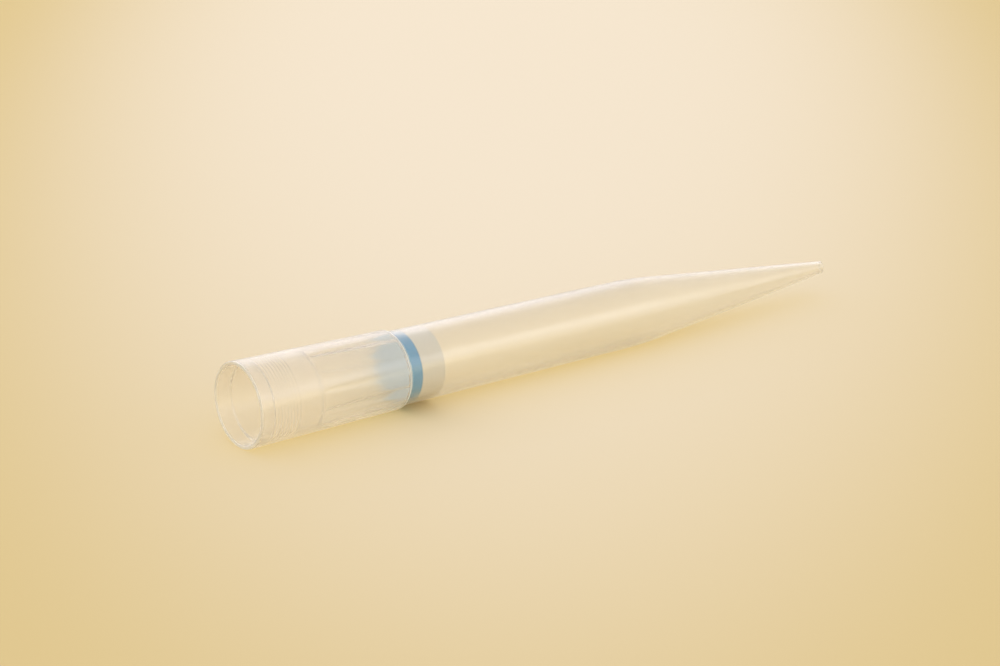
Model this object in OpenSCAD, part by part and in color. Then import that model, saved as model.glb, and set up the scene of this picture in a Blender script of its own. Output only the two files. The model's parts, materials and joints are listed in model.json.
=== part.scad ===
// Filter pipette tip of the 5 ml class, lying on its side as it comes to rest.
// Sizes are in millimetres. The tip is built upright on its own axis, with the mouth at
// height 0 and the point at tip_length, and then laid down: it rests on the mouth's lip
// and on the shoulder, with the mouth towards -X, the point towards +X and +Z up.
// The origin is the middle of the lying tip's footprint, on the surface it lies on.

/* [Overall] */
// Length from the mouth to the point
tip_length = 120; // [110:1:170]

/* [Collar] */
// Outer diameter at the mouth
rim_d = 14; // [13.6:0.1:15]
// Length of the collar, from the mouth to the outward step
collar_length = 28.4; // [24:0.2:34]
// Outer diameter where the collar ends
collar_end_d = 12.9; // [12.7:0.1:13.3]
// Wall of the collar where it ends
collar_wall = 0.6; // [0.45:0.05:0.7]
// Rounding of the mouth's lip
lip_round = 0.22; // [0.1:0.02:0.28]
// Rounding of the collar's end
step_round = 0.15; // [0.05:0.01:0.3]

/* [Nozzle seat] */
// Diameter of the entry, just inside the mouth
entry_d = 12.8; // [12.5:0.1:13]
// Depth of the entry
entry_depth = 2.5; // [1.5:0.1:3.5]
// Diameter of the cylinder that grips the pipette's nozzle
seat_d = 12.2; // [12:0.1:12.4]
// Depth of the seat's inner end below the mouth
seat_depth = 11.7; // [9:0.1:14]
// Height of the small step that closes the seat
seat_step = 0.12; // [0.06:0.02:0.2]
// Number of fine sealing grooves
groove_count = 8; // [4:1:9]
// Distance from groove to groove
groove_pitch = 0.58; // [0.45:0.01:0.62]
// Width of a groove at its mouth
groove_width = 0.34; // [0.15:0.01:0.4]
// Depth of a groove
groove_depth = 0.07; // [0.04:0.01:0.12]
// Land between the entry's edge and the first groove
first_land = 0.3; // [0.1:0.05:0.6]

/* [Guide ribs] */
// Number of ribs inside the collar
rib_count = 12; // [6:1:18]
// Distance from the seat's end to the ribs
rib_setback = 0.4; // [0.2:0.1:3]
// Width of a rib at its front end
rib_front_width = 0.5; // [0.3:0.05:0.8]
// Width of a rib at the filter
rib_back_width = 1.3; // [0.8:0.05:1.6]
// Height of a rib at its front end
rib_front_height = 0.1; // [0.05:0.01:0.2]
// How far a rib's crest stays outside the filter's bore
rib_relief = 0.15; // [0.04:0.01:0.15]

/* [Body] */
// Outer diameter where the body leaves the collar
body_d = 12.1; // [12:0.1:12.3]
// Wall of the body at the filter
body_wall = 0.58; // [0.45:0.01:0.7]
// Distance of the shoulder from the mouth
shoulder_at = 78.4; // [70:0.2:90]
// Outer diameter at the shoulder
shoulder_d = 11.3; // [10.8:0.1:11.6]
// Radius that blends the body into the cone
shoulder_blend = 60; // [20:5:100]
// Wall at the shoulder
shoulder_wall = 0.5; // [0.4:0.05:0.65]
// Distance from the outer shoulder back to the inner one
inner_shoulder_offset = 0.9; // [0:0.1:2]

/* [Point] */
// Outer diameter of the point
point_d = 2.2; // [1.8:0.1:3]
// Diameter of the orifice
orifice_d = 1.2; // [0.6:0.1:1.4]
// Rounding of the point's outer edge
point_round = 0.12; // [0.05:0.01:0.18]

/* [Filter] */
// Distance from the collar's step to the filter's front
filter_inset = 0.6; // [0.1:0.1:3]
// Thickness of the blue layer
blue_thickness = 2.0; // [1:0.1:3]
// Thickness of the white layer
white_thickness = 4.4; // [2:0.1:6]
// Radial room between the filter and its bore
filter_clearance = 0.02; // [0.01:0.01:0.1]

/* [Hidden] */
$fn = 128;

// Radii
rim_r = rim_d / 2;
collar_end_r = collar_end_d / 2;
entry_r = entry_d / 2;
seat_r = seat_d / 2;
body_r = body_d / 2;
shoulder_r = shoulder_d / 2;
point_r = point_d / 2;
orifice_r = orifice_d / 2;

// The bore behind the seat: a channel floor between the ribs, then the filter's bore
floor_front_r = seat_r - seat_step;
floor_back_r = collar_end_r - collar_wall;
filter_bore_r = body_r - body_wall;
filter_r = filter_bore_r - filter_clearance;
inner_shoulder_r = shoulder_r - shoulder_wall;

// Heights above the mouth
seat_start = entry_depth + entry_r - seat_r;
floor_start = seat_depth + seat_step;
filter_front = collar_length + filter_inset;
filter_joint = filter_front + blue_thickness;
filter_back = filter_joint + white_thickness;
bore_start = collar_length;
floor_end = bore_start - (floor_back_r - filter_bore_r);
inner_shoulder_at = shoulder_at - inner_shoulder_offset;

// Where the ribs start, and how deep they root in the wall
rib_front = floor_start + rib_setback;
rib_root = collar_wall / 2;

// Slopes of the body and of the cone, away from the axis
body_slope = atan((body_r - shoulder_r) / (shoulder_at - collar_length));
cone_slope = atan((shoulder_r - point_r) / (tip_length - shoulder_at));
blend_run = shoulder_blend * tan((cone_slope - body_slope) / 2);
blend_centre = [
    shoulder_r + blend_run * sin(body_slope) - shoulder_blend * cos(body_slope),
    shoulder_at - blend_run * cos(body_slope) - shoulder_blend * sin(body_slope)
];

// Centres of the roundings at the lip's outer edge and at the point
lip_centre = [rim_r - lip_round, lip_round];
point_centre = [point_r - point_round, tip_length - point_round];

// The angle at which a straight surface touches both the lip and the shoulder's blend
lip_to_blend = lip_centre - blend_centre;
rest_tilt = atan2(lip_to_blend[1], lip_to_blend[0])
    + acos((shoulder_blend - lip_round) / norm(lip_to_blend));
rest_height = lip_centre * [cos(rest_tilt), sin(rest_tilt)] + lip_round;
mouth_x = lip_centre * [-sin(rest_tilt), cos(rest_tilt)] - lip_round;
point_x = point_centre * [sin(rest_tilt), cos(rest_tilt)] + point_round;

// Points along an arc, from one angle to another
function arc(centre, radius, from, to, steps) = [
    for (i = [0:steps])
        let (angle = from + (to - from) * i / steps)
        centre + radius * [cos(angle), sin(angle)]
];

// One V-shaped groove in the seat, from its far edge to its near edge
function groove(start) = [
    [seat_r, start + groove_width],
    [seat_r + groove_depth, start + groove_width / 2],
    [seat_r, start]
];

// The outside, from the mouth to the point
function outside() = concat(
    arc([entry_r + lip_round, lip_round], lip_round, 180, 270, 4),
    arc(lip_centre, lip_round, 270, 360, 6),
    arc([collar_end_r - step_round, collar_length - step_round], step_round, 0, 90, 4),
    [[body_r, collar_length]],
    arc(blend_centre, shoulder_blend, body_slope, cone_slope, 10),
    arc(point_centre, point_round, 0, 90, 4)
);

// The inside, from the point back to the mouth
function inside() = concat(
    [
        [orifice_r, tip_length],
        [inner_shoulder_r, inner_shoulder_at],
        [filter_bore_r, filter_back],
        [filter_bore_r, bore_start],
        [floor_back_r, floor_end],
        [floor_front_r, floor_start],
        [seat_r, seat_depth]
    ],
    [
        for (i = [groove_count - 1:-1:0])
            each groove(seat_start + first_land + i * groove_pitch)
    ],
    [
        [seat_r, seat_start],
        [entry_r, entry_depth]
    ]
);

// Lays the upright tip down in its resting pose
module lying()
    translate([-(mouth_x + point_x) / 2, 0, rest_height])
        rotate([0, 90 + rest_tilt, 0])
            children();

// The plan of one guide rib, seen from the axis: it widens towards the filter
module rib_plan()
    rotate([90, 0, 90])
        linear_extrude(rim_r)
            polygon([
                [-rib_front_width / 2, rib_front],
                [rib_front_width / 2, rib_front],
                [rib_back_width / 2, bore_start],
                [-rib_back_width / 2, bore_start]
            ]);

// The guide ribs start low behind the seat and grow towards the filter
module guide_ribs()
    intersection() {
        rotate_extrude()
            polygon([
                [floor_front_r - rib_front_height, rib_front],
                [floor_front_r + rib_root, rib_front],
                [floor_back_r + rib_root, floor_end],
                [filter_bore_r + rib_root, bore_start],
                [filter_bore_r + rib_relief, bore_start]
            ]);
        for (i = [0:rib_count - 1])
            rotate([0, 0, (i + 0.5) * 360 / rib_count])
                rib_plan();
    }

// The moulded tip: a turned wall with the guide ribs inside its collar
module tip_body()
    color([0.93, 0.91, 0.86, 0.5])
        lying() {
            rotate_extrude()
                polygon(concat(outside(), inside()));
            guide_ribs();
        }

// One layer of the porous filter
module filter_layer(start, thickness)
    lying()
        translate([0, 0, start])
            cylinder(h = thickness, r = filter_r);

module blue_filter_layer()
    color([0.30, 0.58, 0.78])
        filter_layer(filter_front, blue_thickness);

module white_filter_layer()
    color([0.90, 0.90, 0.88])
        filter_layer(filter_joint, white_thickness);

tip_body();
blue_filter_layer();
white_filter_layer();
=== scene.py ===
"""A filter pipette tip of the 5 ml class, lying on a cream studio table.

The tip's wall is one section turned about its axis. The guide ribs are raised from the bore
of its collar, and two porous filter layers sit just behind the collar. The tip's sizes are
written in millimetres. The scene, and what belongs to the studio, is in metres.
"""

import json
import math

import bmesh
import bpy
from mathutils import Matrix, Vector, noise


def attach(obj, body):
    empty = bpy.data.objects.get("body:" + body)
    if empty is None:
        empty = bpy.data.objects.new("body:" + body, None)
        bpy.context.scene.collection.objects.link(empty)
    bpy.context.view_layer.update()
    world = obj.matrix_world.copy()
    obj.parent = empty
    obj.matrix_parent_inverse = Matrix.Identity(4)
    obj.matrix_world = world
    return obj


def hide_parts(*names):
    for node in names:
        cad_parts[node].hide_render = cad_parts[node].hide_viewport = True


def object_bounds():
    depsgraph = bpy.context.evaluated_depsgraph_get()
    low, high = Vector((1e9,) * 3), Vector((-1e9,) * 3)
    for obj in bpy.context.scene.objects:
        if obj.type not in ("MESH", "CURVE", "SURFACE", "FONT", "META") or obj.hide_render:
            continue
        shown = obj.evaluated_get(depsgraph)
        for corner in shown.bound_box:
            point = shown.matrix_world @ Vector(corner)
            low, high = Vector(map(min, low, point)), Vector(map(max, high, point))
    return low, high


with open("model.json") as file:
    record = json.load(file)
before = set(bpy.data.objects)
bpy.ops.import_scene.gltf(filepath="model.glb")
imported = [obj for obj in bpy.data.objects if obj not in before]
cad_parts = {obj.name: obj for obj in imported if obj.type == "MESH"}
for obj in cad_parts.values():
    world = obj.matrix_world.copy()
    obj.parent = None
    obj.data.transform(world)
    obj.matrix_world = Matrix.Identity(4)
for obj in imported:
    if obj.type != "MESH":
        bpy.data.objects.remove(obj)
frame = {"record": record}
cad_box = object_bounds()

MM = 0.001

# The tip's wall: heights run along its axis, from the mouth to the point
TIP_LENGTH = 120.0
RIM_RADIUS = 7.0
COLLAR_LENGTH = 28.4
COLLAR_END_RADIUS = 6.45
COLLAR_WALL = 0.6
LIP_ROUND = 0.22
STEP_ROUND = 0.15
STEP_BAND = 0.3
ENTRY_RADIUS = 6.4
ENTRY_DEPTH = 2.5
SEAT_RADIUS = 6.1
SEAT_DEPTH = 11.7
SEAT_STEP = 0.12
GROOVE_COUNT = 8
GROOVE_PITCH = 0.58
GROOVE_WIDTH = 0.34
GROOVE_DEPTH = 0.06
FIRST_LAND = 0.3
SEAT_ROUND = 0.08
SEAT_STEP_RUN = 0.5
SEAT_STEP_ROUND = 0.16
BODY_RADIUS = 6.05
BODY_WALL = 0.58
SHOULDER_HEIGHT = 78.4
SHOULDER_RADIUS = 5.65
SHOULDER_BLEND_REACH = 3.0
SHOULDER_WALL = 0.5
INNER_SHOULDER_OFFSET = 0.9
POINT_RADIUS = 1.1
ORIFICE_RADIUS = 0.6
POINT_ROUND = 0.12

# The guide ribs in the collar: shares are of a rib's width
RIB_COUNT = 12
RIB_SETBACK = 0.4
RIB_RISE = 0.5
RIB_FRONT_WIDTH = 0.5
RIB_BACK_WIDTH = 1.3
RIB_FRONT_HEIGHT = 0.1
RIB_RELIEF = 0.18
RIB_CREST_SHARE = 0.2
RIB_FOOT_SHARE = 2.0
RIB_ROWS = 10

# How finely the wall is turned: every rib takes whole columns of faces, which are counted
# from its middle line
COLUMNS_PER_RIB = 24
RIB_CREST_COLUMN = 2
RIB_FOOT_COLUMN = 9
TURN_STEPS = RIB_COUNT * COLUMNS_PER_RIB

# The filter's two layers
FILTER_INSET = 0.6
BLUE_THICKNESS = 2.0
WHITE_THICKNESS = 4.4
FILTER_RADIUS = 5.45
FILTER_EDGE_ROUND = 0.12
FILTER_EDGE_STEPS = 3
BEAD_SIZE = 0.16
BEAD_RELIEF = 0.012
FRONT_FACING = 0.7

# Heights and radii that follow from those
SEAT_START = ENTRY_DEPTH + ENTRY_RADIUS - SEAT_RADIUS
STEP_START = COLLAR_LENGTH - STEP_BAND
COLLAR_TAPER = (RIM_RADIUS - COLLAR_END_RADIUS) / COLLAR_LENGTH
STEP_START_RADIUS = COLLAR_END_RADIUS + COLLAR_TAPER * STEP_BAND
FLOOR_START = SEAT_DEPTH + SEAT_STEP
FLOOR_FRONT_RADIUS = SEAT_RADIUS - SEAT_STEP
FLOOR_BACK_RADIUS = COLLAR_END_RADIUS - COLLAR_WALL
FILTER_BORE_RADIUS = BODY_RADIUS - BODY_WALL
FLOOR_END = COLLAR_LENGTH - (FLOOR_BACK_RADIUS - FILTER_BORE_RADIUS)
RIB_START = FLOOR_START + RIB_SETBACK
RIB_END = COLLAR_LENGTH - RIB_RELIEF
FILTER_FRONT = COLLAR_LENGTH + FILTER_INSET
FILTER_JOINT = FILTER_FRONT + BLUE_THICKNESS
FILTER_BACK = FILTER_JOINT + WHITE_THICKNESS

# Corners of the wall's section that are rounded: place in wall_corners, reach and steps
ROUNDED_CORNERS = {
    "lip_inside": (0, LIP_ROUND, 5),
    "lip_outside": (1, LIP_ROUND, 6),
    "collar_end": (3, STEP_ROUND, 4),
    "shoulder": (5, SHOULDER_BLEND_REACH, 12),
    "point": (6, POINT_ROUND, 4),
}
SEAT_ROUND_STEPS = 3

# The wall's materials, in the order in which the piece holds them
THICK_WALL = 0
THIN_WALL = 1
EDGE_WALL = 2

# Heights between which the lip, the collar's end and the point are cloudy
CLOUDY_EDGES = (
    (0.0, LIP_ROUND),
    (STEP_START, COLLAR_LENGTH),
    (TIP_LENGTH - POINT_ROUND, TIP_LENGTH),
)

# Vertices this near are one vertex, and heights and radii this near are the same
MERGE_REACH = 0.0005
TOLERANCE = 0.01

SHARP_ANGLE = math.radians(20)


def lying_pose(record):
    """Where the model lies: its +Z runs from the mouth to the point and its +X turns down."""
    mounts = {mount["name"]: mount for mount in record["mounts"]}
    seat = Vector(mounts["nozzle_seat"]["pos_m"])
    outwards = Vector(mounts["nozzle_seat"]["axis"])
    rim = Vector(mounts["mouth_rim"]["pos_m"])
    mouth = seat + outwards * (rim - seat).dot(outwards)
    along = -outwards
    sideways = Vector((0.0, 1.0, 0.0))
    down = sideways.cross(along)
    turn = Matrix((down, sideways, along)).transposed().to_4x4()
    return Matrix.Translation(mouth) @ turn


POSE = lying_pose(frame["record"])


def add_object(name, content):
    """Adds an object to the scene."""
    thing = bpy.data.objects.new(name, content)
    bpy.context.scene.collection.objects.link(thing)
    return thing


def finish_piece(bm, name):
    """Lays the upright piece down and makes it an object. Only edges round it can be sharp."""
    bmesh.ops.remove_doubles(bm, verts=bm.verts, dist=MERGE_REACH * MM)
    bmesh.ops.recalc_face_normals(bm, faces=bm.faces)
    for face in bm.faces:
        face.smooth = True
    for edge in bm.edges:
        first, second = edge.verts
        lengthwise = abs(first.co.z - second.co.z) > edge.calc_length() / 2
        edge.smooth = lengthwise or edge.calc_face_angle(0.0) < SHARP_ANGLE
    bmesh.ops.transform(bm, matrix=POSE, verts=bm.verts)
    mesh = bpy.data.meshes.new(name)
    bm.to_mesh(mesh)
    bm.free()
    return add_object(name, mesh)


def draw_line(bm, corners, closed):
    """Draws a line through corners given as height and radius. Returns its vertices."""
    line = [bm.verts.new((radius * MM, 0.0, height * MM)) for height, radius in corners]
    for first, second in zip(line, line[1:]):
        bm.edges.new((first, second))
    if closed:
        bm.edges.new((line[-1], line[0]))
    return line


def round_corner(bm, corner, reach, steps):
    """Rounds one corner of a line before it is turned."""
    bmesh.ops.bevel(
        bm,
        geom=[corner],
        offset=reach * MM,
        offset_type="OFFSET",
        segments=steps,
        profile=0.5,
        affect="VERTICES",
        material=-1,
    )


def turn_line(bm, steps):
    """Turns the line full round the axis."""
    bmesh.ops.spin(
        bm,
        geom=bm.verts[:] + bm.edges[:],
        cent=(0.0, 0.0, 0.0),
        axis=(0.0, 0.0, 1.0),
        angle=math.tau,
        steps=steps,
        use_merge=True,
    )


def groove_corners():
    """The fine sealing grooves in the nozzle seat, from the mouth inwards."""
    corners = []
    for i in range(GROOVE_COUNT):
        start = SEAT_START + FIRST_LAND + i * GROOVE_PITCH
        corners.append((start, SEAT_RADIUS))
        corners.append((start + GROOVE_WIDTH / 2, SEAT_RADIUS + GROOVE_DEPTH))
        corners.append((start + GROOVE_WIDTH, SEAT_RADIUS))
    return corners


def bore_floor_radius(height):
    """Radius of the collar's bore between the ribs."""
    if height > FLOOR_END:
        return FLOOR_BACK_RADIUS - (height - FLOOR_END)
    share = (height - FLOOR_START) / (FLOOR_END - FLOOR_START)
    return FLOOR_FRONT_RADIUS + share * (FLOOR_BACK_RADIUS - FLOOR_FRONT_RADIUS)


def bore_floor_heights():
    """Heights at which the ribbed part of the bore has a row of vertices."""
    rise_end = RIB_START + RIB_RISE
    row = (FLOOR_END - rise_end) / RIB_ROWS
    rows = [rise_end + i * row for i in range(RIB_ROWS + 1)]
    return [FLOOR_START, RIB_START] + rows + [RIB_END]


def wall_corners():
    """The wall's section, from the lip down the outside and back up the inside."""
    outside = [
        (0.0, ENTRY_RADIUS),
        (0.0, RIM_RADIUS),
        (STEP_START, STEP_START_RADIUS),
        (COLLAR_LENGTH, COLLAR_END_RADIUS),
        (COLLAR_LENGTH, BODY_RADIUS),
        (SHOULDER_HEIGHT, SHOULDER_RADIUS),
        (TIP_LENGTH, POINT_RADIUS),
    ]
    inside = [
        (ENTRY_DEPTH, ENTRY_RADIUS),
        (SEAT_START, SEAT_RADIUS),
        *groove_corners(),
        (FLOOR_START - SEAT_STEP_RUN, SEAT_RADIUS),
        *((height, bore_floor_radius(height)) for height in bore_floor_heights()),
        (COLLAR_LENGTH, FILTER_BORE_RADIUS),
        (FILTER_BACK, FILTER_BORE_RADIUS),
        (SHOULDER_HEIGHT - INNER_SHOULDER_OFFSET, SHOULDER_RADIUS - SHOULDER_WALL),
        (TIP_LENGTH, ORIFICE_RADIUS),
    ]
    return outside + inside[::-1]


def blend(value, start, end, low, high):
    """Goes evenly from low to high as value goes from start to end."""
    share = min(max((value - start) / (end - start), 0.0), 1.0)
    return low + share * (high - low)


def rib_angle(columns, height):
    """Angle from a rib's middle line for a vertex that many columns from it."""
    floor = bore_floor_radius(height)
    width = blend(height, RIB_START, COLLAR_LENGTH, RIB_FRONT_WIDTH, RIB_BACK_WIDTH)
    crest = width * RIB_CREST_SHARE / 2 / floor
    foot = width * RIB_FOOT_SHARE / 2 / floor
    if columns <= RIB_CREST_COLUMN:
        return crest * columns / RIB_CREST_COLUMN
    if columns <= RIB_FOOT_COLUMN:
        return blend(columns, RIB_CREST_COLUMN, RIB_FOOT_COLUMN, crest, foot)
    return blend(columns, RIB_FOOT_COLUMN, COLUMNS_PER_RIB / 2, foot, math.pi / RIB_COUNT)


def rib_share(columns, height):
    """How much of the rib's height stands that many columns out: its shoulders are round."""
    if height < RIB_START + TOLERANCE:
        return 0.0
    slope = blend(columns, RIB_CREST_COLUMN, RIB_FOOT_COLUMN, 1.0, 0.0)
    return slope * slope * (3.0 - 2.0 * slope)


def rib_crest_radius(height):
    """Radius of a rib's crest: it starts low behind the seat and grows towards the filter."""
    start = FLOOR_FRONT_RADIUS - RIB_FRONT_HEIGHT
    return blend(height, RIB_START, COLLAR_LENGTH, start, FILTER_BORE_RADIUS + RIB_RELIEF)


def raise_guide_ribs(bm):
    """Moves the vertices of the collar's bore so that widening ribs stand up in it."""
    pitch = math.tau / RIB_COUNT
    column = pitch / COLUMNS_PER_RIB
    for vert in bm.verts:
        height = vert.co.z / MM
        radius = vert.co.xy.length / MM
        ribbed = RIB_START - TOLERANCE < height < RIB_END + TOLERANCE
        if not ribbed or radius > SEAT_RADIUS + TOLERANCE:
            continue
        angle = math.atan2(vert.co.y, vert.co.x)
        middle = (math.floor(angle / pitch) + 0.5) * pitch
        columns = round((angle - middle) / column)
        moved = middle + math.copysign(rib_angle(abs(columns), height), columns)
        rise = max(radius - rib_crest_radius(height), 0.0)
        radius -= rise * rib_share(abs(columns), height)
        vert.co.x = radius * MM * math.cos(moved)
        vert.co.y = radius * MM * math.sin(moved)


def wall_material(height, radius):
    """The collar is thick, its ribbed bore and the body are thin, and three edges are cloudy."""
    at_edge = any(low - TOLERANCE < height < high + TOLERANCE for low, high in CLOUDY_EDGES)
    if at_edge and (radius > BODY_RADIUS or height > SHOULDER_HEIGHT):
        return EDGE_WALL
    ribbed = height > RIB_START and radius < SEAT_RADIUS
    return THIN_WALL if ribbed or height > COLLAR_LENGTH else THICK_WALL


def mark_walls(bm):
    """Gives each face of the wall its material."""
    for face in bm.faces:
        middle = face.calc_center_median() / MM
        face.material_index = wall_material(middle.z, middle.xy.length)


def seat_line(line):
    """The corners of the drawn section from the entry to the end of the nozzle seat."""
    return [
        corner
        for corner in line
        if corner.is_valid
        and ENTRY_DEPTH - TOLERANCE < corner.co.z / MM < FLOOR_START + TOLERANCE
        and corner.co.x / MM < ENTRY_RADIUS + TOLERANCE
    ]


def mould_tip():
    """Turns the wall, with its rounded corners, and raises the ribs in it."""
    bm = bmesh.new()
    line = draw_line(bm, wall_corners(), closed=True)
    for place, reach, steps in ROUNDED_CORNERS.values():
        round_corner(bm, line[place], reach, steps)
    for corner in seat_line(line):
        at_step = corner.co.z / MM > FLOOR_START - SEAT_STEP_RUN - TOLERANCE
        reach = SEAT_STEP_ROUND if at_step else SEAT_ROUND
        round_corner(bm, corner, reach, SEAT_ROUND_STEPS)
    turn_line(bm, TURN_STEPS)
    raise_guide_ribs(bm)
    mark_walls(bm)
    return finish_piece(bm, "moulded_tip")


def press_filter_layer(name, start, thickness):
    """A disc of sintered beads: rounded edges and a finely grained skin."""
    bm = bmesh.new()
    end = start + thickness
    corners = [(start, 0.0), (start, FILTER_RADIUS), (end, FILTER_RADIUS), (end, 0.0)]
    line = draw_line(bm, corners, closed=False)
    for corner in line[1:3]:
        round_corner(bm, corner, FILTER_EDGE_ROUND, FILTER_EDGE_STEPS)
    bm.edges.ensure_lookup_table()
    long_edges = [edge for edge in bm.edges if edge.calc_length() > 2 * BEAD_SIZE * MM]
    bmesh.ops.subdivide_edges(bm, edges=long_edges, cuts=round(FILTER_RADIUS / BEAD_SIZE))
    turn_line(bm, TURN_STEPS)
    bmesh.ops.remove_doubles(bm, verts=bm.verts, dist=MERGE_REACH * MM)
    bmesh.ops.recalc_face_normals(bm, faces=bm.faces)
    for vert in bm.verts:
        grain = noise.noise(vert.co / (BEAD_SIZE * MM))
        vert.co -= vert.normal * BEAD_RELIEF * MM * (0.5 + 0.5 * grain)
    return finish_piece(bm, name)


def mark_lit_front_face(piece):
    """A layer's front face takes the second material, painted paler to stand for the light and
    milky veil that fall on it.
    """
    outwards = POSE.to_3x3() @ Vector((0.0, 0.0, -1.0))
    for face in piece.data.polygons:
        face.material_index = int(face.normal.dot(outwards) > FRONT_FACING)


def dress(piece, node, slot, *materials):
    """Stands the piece in for its CAD node, with its materials. The slot is not used."""
    for material in materials:
        piece.data.materials.append(material)
    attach(piece, "root")
    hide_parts(node)


# Materials

# Clear and cloudy tones of the plastic in thin walls, in thick walls and at edges
THIN_TONES = ((0.985, 0.969, 0.914, 1.0), (0.975, 0.951, 0.887, 1.0))
THICK_TONES = ((0.956, 0.918, 0.856, 1.0), (0.941, 0.896, 0.822, 1.0))
EDGE_TONES = ((0.930, 0.905, 0.840, 1.0), (0.910, 0.885, 0.810, 1.0))

# Tones of the filter's beads and of the painted shade in the pores between them
BLUE_TONES = ((0.04, 0.34, 0.70, 1.0), (0.02, 0.23, 0.55, 1.0))
# The front face's tones are painted light: paler than the rest of the blue layer, for the light
# and milky veil that fall on it.
BLUE_LIT_FACE_TONES = ((0.48, 0.67, 0.94, 1.0), (0.38, 0.57, 0.86, 1.0))
WHITE_TONES = ((0.72, 0.71, 0.70, 1.0), (0.60, 0.59, 0.58, 1.0))

# How much light a wall's surface lets pass where nobody looks through it
LAMP_LIGHT_PASSED = (1.0, 0.99, 0.97, 1.0)
ROOM_LIGHT_PASSED = (0.96, 0.94, 0.885, 1.0)

# Clouds in the plastic are drawn out along the tip
FLOW_SCALE = (0.25, 1.0, 1.0)

# How strong the bump between the filter's beads is, and how deep it reaches, in metres
PORE_RELIEF = 0.6
PORE_REACH = 0.00005

# How far apart nodes are laid out
NODE_SPACING = 220

COLOUR = "NodeSocketColor"
VALUE = "NodeSocketFloat"
VECTOR = "NodeSocketVector"


def set_inputs(node, values):
    """Sets a node's inputs by name or number."""
    for socket, value in values.items():
        node.inputs[socket].default_value = value


def add_node(tree, kind, place, values=None):
    """Adds a node and sets some of its inputs."""
    node = tree.nodes.new(kind)
    node.location = (place[0] * NODE_SPACING, place[1] * NODE_SPACING)
    set_inputs(node, values or {})
    return node


def add_math(tree, operation, place, values=None):
    """Adds a node that works out one value."""
    node = add_node(tree, "ShaderNodeMath", place, values)
    node.operation = operation
    return node


def add_tone_mix(tree, place, values=None):
    """Adds a node that mixes two colours."""
    node = add_node(tree, "ShaderNodeMix", place)
    node.data_type = "RGBA"
    set_inputs(node, values or {})
    return node


def open_group(name, inputs, outputs):
    """Starts a shader group. Returns its tree and its two end nodes."""
    tree = bpy.data.node_groups.new(name, "ShaderNodeTree")
    for socket, kind in inputs.items():
        tree.interface.new_socket(name=socket, in_out="INPUT", socket_type=kind)
    for socket, kind in outputs.items():
        tree.interface.new_socket(name=socket, in_out="OUTPUT", socket_type=kind)
    start = add_node(tree, "NodeGroupInput", (-4, 0))
    end = add_node(tree, "NodeGroupOutput", (5, 0))
    return tree, start, end


def build_moulding_group():
    """Cloudy drift in the tone and a fine bite in the gloss of moulded see-through plastic."""
    tree, start, end = open_group(
        "moulding_drift",
        {
            "Place": VECTOR,
            "Clear Tone": COLOUR,
            "Cloudy Tone": COLOUR,
            "Cloud Size": VALUE,
            "Smooth": VALUE,
            "Bitten": VALUE,
        },
        {"Tone": COLOUR, "Roughness": VALUE},
    )
    link = tree.links.new
    cloud = add_node(tree, "ShaderNodeTexNoise", (-2, 1), {"Detail": 3.0, "Roughness": 0.55})
    link(start.outputs["Place"], cloud.inputs["Vector"])
    link(start.outputs["Cloud Size"], cloud.inputs["Scale"])
    soft = add_node(tree, "ShaderNodeMapRange", (0, 1), {"From Min": 0.35, "From Max": 0.65})
    link(cloud.outputs["Fac"], soft.inputs["Value"])
    tone = add_tone_mix(tree, (2, 2))
    link(soft.outputs["Result"], tone.inputs["Factor"])
    link(start.outputs["Clear Tone"], tone.inputs["A"])
    link(start.outputs["Cloudy Tone"], tone.inputs["B"])
    link(tone.outputs["Result"], end.inputs["Tone"])
    bite = add_node(tree, "ShaderNodeTexNoise", (-2, -1), {"Scale": 900.0, "Detail": 2.0})
    link(start.outputs["Place"], bite.inputs["Vector"])
    rough = add_node(tree, "ShaderNodeMix", (2, 0))
    link(bite.outputs["Fac"], rough.inputs["Factor"])
    link(start.outputs["Smooth"], rough.inputs["A"])
    link(start.outputs["Bitten"], rough.inputs["B"])
    link(rough.outputs["Result"], end.inputs["Roughness"])
    return tree


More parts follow.
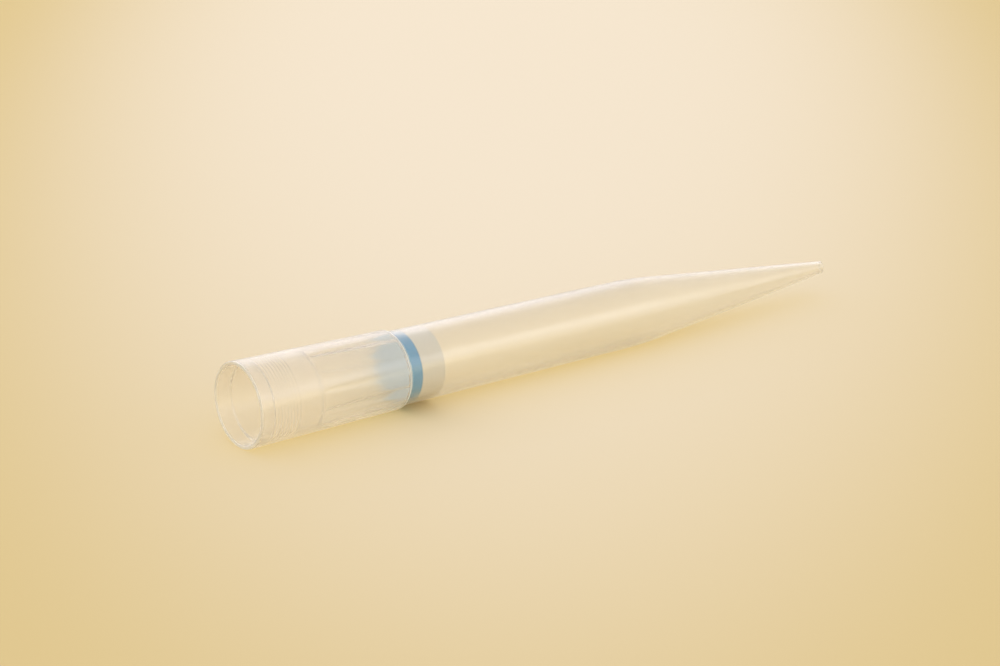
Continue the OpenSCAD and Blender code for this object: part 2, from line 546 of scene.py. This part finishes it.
def build_bead_group():
    """Sintered beads: pale crowns, painted shade in the pores between them and a grained height.
    """
    tree, start, end = open_group(
        "sintered_beads",
        {
            "Place": VECTOR,
            "Bead Tone": COLOUR,
            "Pore Shade Tone": COLOUR,
            "Bead Density": VALUE,
            "Unevenness": VALUE,
        },
        {"Tone": COLOUR, "Roughness": VALUE, "Height": VALUE},
    )
    link = tree.links.new
    beads = add_node(tree, "ShaderNodeTexVoronoi", (-2, 1))
    link(start.outputs["Place"], beads.inputs["Vector"])
    link(start.outputs["Bead Density"], beads.inputs["Scale"])
    pores = add_node(tree, "ShaderNodeMapRange", (0, 1), {"From Min": 0.35, "From Max": 0.75})
    link(beads.outputs["Distance"], pores.inputs["Value"])
    drift = add_node(tree, "ShaderNodeTexNoise", (-2, -1), {"Scale": 700.0, "Detail": 3.0})
    link(start.outputs["Place"], drift.inputs["Vector"])
    patch = add_math(tree, "MULTIPLY", (0, -1))
    link(drift.outputs["Fac"], patch.inputs[0])
    link(start.outputs["Unevenness"], patch.inputs[1])
    # Painted shade: the pores between the beads take the deeper tone.
    pore_shade = add_math(tree, "MULTIPLY_ADD", (1, 0), {1: 0.7})
    pore_shade.use_clamp = True
    link(pores.outputs["Result"], pore_shade.inputs[0])
    link(patch.outputs["Value"], pore_shade.inputs[2])
    tone = add_tone_mix(tree, (3, 1))
    link(pore_shade.outputs["Value"], tone.inputs["Factor"])
    link(start.outputs["Bead Tone"], tone.inputs["A"])
    link(start.outputs["Pore Shade Tone"], tone.inputs["B"])
    link(tone.outputs["Result"], end.inputs["Tone"])
    rough = add_node(tree, "ShaderNodeMapRange", (3, -1), {"To Min": 0.62, "To Max": 0.95})
    link(pores.outputs["Result"], rough.inputs["Value"])
    link(rough.outputs["Result"], end.inputs["Roughness"])
    height = add_math(tree, "SUBTRACT", (3, -2), {0: 1.0})
    link(beads.outputs["Distance"], height.inputs[1])
    link(height.outputs["Value"], end.inputs["Height"])
    return tree


def open_material(name):
    """Starts a material. Returns it, its tree and its Principled shader."""
    material = bpy.data.materials.new(name)
    material.use_nodes = True
    tree = material.node_tree
    tree.nodes.clear()
    shader = add_node(tree, "ShaderNodeBsdfPrincipled", (2, 0))
    output = add_node(tree, "ShaderNodeOutputMaterial", (4, 0))
    tree.links.new(shader.outputs["BSDF"], output.inputs["Surface"])
    return material, tree, shader


def place_group(tree, shader, group, scale, values):
    """Puts a group on the piece's own coordinates. It gives the shader tone and roughness."""
    link = tree.links.new
    coords = add_node(tree, "ShaderNodeTexCoord", (-5, 0))
    mapping = add_node(tree, "ShaderNodeMapping", (-4, 0), {"Scale": scale})
    link(coords.outputs["Object"], mapping.inputs["Vector"])
    effect = add_node(tree, "ShaderNodeGroup", (-2, 0))
    effect.node_tree = group
    set_inputs(effect, values)
    link(mapping.outputs["Vector"], effect.inputs["Place"])
    link(effect.outputs["Tone"], shader.inputs["Base Color"])
    link(effect.outputs["Roughness"], shader.inputs["Roughness"])
    return effect


def let_light_through(tree, shader, lamp_tone, room_tone):
    """Thin milky walls pass most of the light of the lamps and of the room."""
    link = tree.links.new
    rays = add_node(tree, "ShaderNodeLightPath", (2, 3))
    room = add_node(tree, "ShaderNodeBsdfTransparent", (2, -2), {"Color": room_tone})
    bounced = add_node(tree, "ShaderNodeMixShader", (4, 1))
    link(rays.outputs["Is Diffuse Ray"], bounced.inputs["Fac"])
    link(shader.outputs["BSDF"], bounced.inputs[1])
    link(room.outputs["BSDF"], bounced.inputs[2])
    lamps = add_node(tree, "ShaderNodeBsdfTransparent", (2, -3), {"Color": lamp_tone})
    mix = add_node(tree, "ShaderNodeMixShader", (5, 2))
    link(rays.outputs["Is Shadow Ray"], mix.inputs["Fac"])
    link(bounced.outputs["Shader"], mix.inputs[1])
    link(lamps.outputs["BSDF"], mix.inputs[2])
    output = next(node for node in tree.nodes if node.type == "OUTPUT_MATERIAL")
    link(mix.outputs["Shader"], output.inputs["Surface"])


def natural_polypropylene(group, name, tones, clearness, smooth, bitten):
    """Milky see-through plastic, as moulded. Its roughness lies between smooth and bitten."""
    material, tree, shader = open_material(name)
    finish = {
        "Transmission Weight": clearness,
        "IOR": 1.49,
        "Sheen Weight": 0.4,
        "Sheen Roughness": 0.35,
        "Sheen Tint": (1.0, 0.96, 0.93, 1.0),
        "Coat Weight": 0.5,
        "Coat Roughness": 0.15,
    }
    set_inputs(shader, finish)
    values = {
        "Clear Tone": tones[0],
        "Cloudy Tone": tones[1],
        "Cloud Size": 160.0,
        "Smooth": smooth,
        "Bitten": bitten,
    }
    place_group(tree, shader, group, FLOW_SCALE, values)
    let_light_through(tree, shader, LAMP_LIGHT_PASSED, ROOM_LIGHT_PASSED)
    return material


def porous_filter(group, name, tones, unevenness):
    """Sintered plastic beads, matt and finely pitted."""
    material, tree, shader = open_material(name)
    set_inputs(shader, {"IOR": 1.45, "Specular IOR Level": 0.3})
    values = {
        "Bead Tone": tones[0],
        "Pore Shade Tone": tones[1],
        "Bead Density": 1.0 / (BEAD_SIZE * MM),
        "Unevenness": unevenness,
    }
    effect = place_group(tree, shader, group, (1.0, 1.0, 1.0), values)
    relief = {"Strength": PORE_RELIEF, "Distance": PORE_REACH}
    bump = add_node(tree, "ShaderNodeBump", (0, -1), relief)
    tree.links.new(effect.outputs["Height"], bump.inputs["Height"])
    tree.links.new(bump.outputs["Normal"], shader.inputs["Normal"])
    return material


# The studio

CAMERA_PLACE = (-0.30946, -0.40487, 0.19378)
CAMERA_TARGET = (-0.0096, 0.0, 0.0079)
CAMERA_LENS = 118.8
CAMERA_SENSOR = 36.0
CAMERA_CLIP_START = 0.01

COOL_LAMP = (0.93, 0.91, 1.0)
SOFT_LAMP = (0.87, 0.90, 1.0)
LOW_LAMP = (1.0, 0.84, 0.42)

# Soft lamps: place, width, height, brightness and tone
SOFTBOXES = {
    "back_softbox": ((0.10, 0.92, 0.58), 1.6, 0.8, 0.6, COOL_LAMP),
    "mouth_softbox": ((-0.80, -0.22, 0.36), 0.5, 0.24, 0.7, SOFT_LAMP),
    "front_softbox": ((0.54, -0.70, 0.40), 0.5, 0.30, 0.95, SOFT_LAMP),
    "low_softbox": ((0.0, -0.90, 0.12), 1.2, 0.24, 1.2, LOW_LAMP),
}

ROOM_TONE = (1.0, 0.985, 0.96, 1.0)
ROOM_BRIGHTNESS = 0.90

# What each kind of ray sees of the room, where a later kind hides an earlier one
TENT = {
    "Is Glossy Ray": ((1.0, 0.89, 0.84, 1.0), 0.95),
    "Is Transmission Ray": ((1.0, 0.925, 0.83, 1.0), 1.0),
    "Is Camera Ray": ((1.0, 0.88, 0.70, 1.0), 0.85),
}

TABLE_SIZE = 12.0
TABLE_GAP = 0.02 * MM

# The table's tone: a painted pool of light, pale in an oval and deeper outside it, and painted
# warm shade close to the tip
TABLE_LIGHT_POOL_CENTRE = (0.115, 0.165)
TABLE_LIGHT_POOL_WIDTH = 0.123
TABLE_LIGHT_POOL_DEPTH = 0.385
TABLE_LIGHT_POOL_TURN = math.radians(-36.5)
TABLE_LIT_TONE = (0.900, 0.788, 0.625, 1.0)
TABLE_FALLOFF_TONE = (0.740, 0.575, 0.280, 1.0)
TABLE_WARM_SHADE = (0.860, 0.690, 0.370, 1.0)
TABLE_WARM_SHADE_REACH = 0.022
TABLE_WARM_SHADE_SAMPLES = 8


def set_camera():
    """A long lens that looks down on the tip from the side of its mouth."""
    camera = add_object("studio_camera", bpy.data.cameras.new("studio_camera"))
    camera.data.lens = CAMERA_LENS
    camera.data.sensor_width = CAMERA_SENSOR
    camera.data.clip_start = CAMERA_CLIP_START
    camera.location = CAMERA_PLACE
    sight = Vector(CAMERA_TARGET) - Vector(CAMERA_PLACE)
    camera.rotation_euler = sight.to_track_quat("-Z", "Y").to_euler()
    bpy.context.scene.camera = camera


def add_softbox(name, place, width, height, brightness, tone):
    """A soft lamp aimed at the tip. Brightness is how bright its face is, where 1 is white."""
    lamp = bpy.data.lights.new(name, "AREA")
    lamp.shape = "RECTANGLE"
    lamp.size = width
    lamp.size_y = height
    lamp.energy = brightness * math.pi * width * height
    lamp.color = tone
    holder = add_object(name, lamp)
    holder.location = place
    holder.rotation_euler = (-Vector(place)).to_track_quat("-Z", "Y").to_euler()
    holder.visible_camera = False


def add_background(tree, place, tone, brightness):
    """An even glow from all sides."""
    values = {"Color": tone, "Strength": brightness}
    return add_node(tree, "ShaderNodeBackground", place, values).outputs["Background"]


def set_world():
    """A white room for light, which gloss, glass and the camera see as a cream tent."""
    world = bpy.data.worlds.new("studio_room")
    world.use_nodes = True
    bpy.context.scene.world = world
    tree = world.node_tree
    tree.nodes.clear()
    rays = add_node(tree, "ShaderNodeLightPath", (-2, 2))
    seen = add_background(tree, (0, 2), ROOM_TONE, ROOM_BRIGHTNESS)
    for i, (kind, (tone, brightness)) in enumerate(TENT.items()):
        tent = add_background(tree, (0, -i), tone, brightness)
        mix = add_node(tree, "ShaderNodeMixShader", (i + 1, 0))
        tree.links.new(rays.outputs[kind], mix.inputs["Fac"])
        tree.links.new(seen, mix.inputs[1])
        tree.links.new(tent, mix.inputs[2])
        seen = mix.outputs["Shader"]
    output = add_node(tree, "ShaderNodeOutputWorld", (5, 0))
    tree.links.new(seen, output.inputs["Surface"])


def table_paper():
    """Cream paper with a painted pool of light in it, and painted warm shade close to the tip.
    """
    material, tree, shader = open_material("table_paper")
    set_inputs(shader, {"Roughness": 0.9, "Specular IOR Level": 0.1})
    link = tree.links.new
    coords = add_node(tree, "ShaderNodeTexCoord", (-6, 0))
    # The pale oval is a painted pool of light, and the tone deepens outside it.
    pool = {
        "Location": (*TABLE_LIGHT_POOL_CENTRE, 0.0),
        "Rotation": (0.0, 0.0, TABLE_LIGHT_POOL_TURN),
        "Scale": (TABLE_LIGHT_POOL_WIDTH, TABLE_LIGHT_POOL_DEPTH, 1.0),
    }
    mapping = add_node(tree, "ShaderNodeMapping", (-5, 0))
    mapping.vector_type = "TEXTURE"
    set_inputs(mapping, pool)
    link(coords.outputs["Object"], mapping.inputs["Vector"])
    reach = add_node(tree, "ShaderNodeVectorMath", (-4, 0))
    reach.operation = "LENGTH"
    link(mapping.outputs["Vector"], reach.inputs[0])
    square = add_math(tree, "POWER", (-3, 0), {1: 2.0})
    link(reach.outputs["Value"], square.inputs[0])
    light_falloff = add_node(tree, "ShaderNodeMapRange", (-2, 0))
    light_falloff.interpolation_type = "SMOOTHSTEP"
    link(square.outputs["Value"], light_falloff.inputs["Value"])
    tone = add_tone_mix(tree, (-1, 0), {"A": TABLE_LIT_TONE, "B": TABLE_FALLOFF_TONE})
    link(light_falloff.outputs["Result"], tone.inputs["Factor"])
    # Painted shade: the paper turns warm and yellowish where ambient occlusion finds the tip
    # close by.
    near = {"Distance": TABLE_WARM_SHADE_REACH}
    cover = add_node(tree, "ShaderNodeAmbientOcclusion", (-1, -2), near)
    cover.samples = TABLE_WARM_SHADE_SAMPLES
    warm_shaded = add_tone_mix(tree, (1, 0), {"A": TABLE_WARM_SHADE})
    link(cover.outputs["AO"], warm_shaded.inputs["Factor"])
    link(tone.outputs["Result"], warm_shaded.inputs["B"])
    link(warm_shaded.outputs["Result"], shader.inputs["Base Color"])
    return material


def lay_table():
    """The floor, a hair below the tip."""
    bm = bmesh.new()
    bmesh.ops.create_grid(bm, x_segments=1, y_segments=1, size=TABLE_SIZE / 2)
    bmesh.ops.translate(bm, verts=bm.verts, vec=(0.0, 0.0, cad_box[0].z - TABLE_GAP))
    mesh = bpy.data.meshes.new("studio_table")
    bm.to_mesh(mesh)
    bm.free()
    mesh.materials.append(table_paper())
    table = add_object("studio_table", mesh)


def set_studio():
    """Camera, room, table and lamps."""
    bpy.context.scene.view_settings.view_transform = "Standard"
    set_camera()
    set_world()
    lay_table()
    for name, (place, width, height, brightness, tone) in SOFTBOXES.items():
        add_softbox(name, place, width, height, brightness, tone)


def build_tip():
    """Makes the three pieces and dresses them."""
    moulding = build_moulding_group()
    beads = build_bead_group()
    thick = natural_polypropylene(
        moulding,
        "natural_polypropylene_collar",
        THICK_TONES,
        clearness=0.80,
        smooth=0.245,
        bitten=0.265,
    )
    thin = natural_polypropylene(
        moulding,
        "natural_polypropylene_body",
        THIN_TONES,
        clearness=0.95,
        smooth=0.24,
        bitten=0.265,
    )
    edge = natural_polypropylene(
        moulding,
        "natural_polypropylene_edge",
        EDGE_TONES,
        clearness=0.60,
        smooth=0.30,
        bitten=0.36,
    )
    blue = porous_filter(beads, "blue_porous_filter", BLUE_TONES, unevenness=0.35)
    # The front face's paler copy of the blue is painted light.
    blue_lit_face = porous_filter(
        beads, "blue_porous_filter_lit_face", BLUE_LIT_FACE_TONES, unevenness=0.35
    )
    white = porous_filter(beads, "white_porous_filter", WHITE_TONES, unevenness=0.25)
    tip = mould_tip()
    dress(tip, "tip_body", "natural_polypropylene", thick, thin, edge)
    blue_layer = press_filter_layer("blue_layer", FILTER_FRONT, BLUE_THICKNESS)
    mark_lit_front_face(blue_layer)
    dress(blue_layer, "blue_filter_layer", "blue_porous_filter", blue, blue_lit_face)
    white_layer = press_filter_layer("white_layer", FILTER_JOINT, WHITE_THICKNESS)
    dress(white_layer, "white_filter_layer", "white_porous_filter", white)


set_studio()
build_tip()
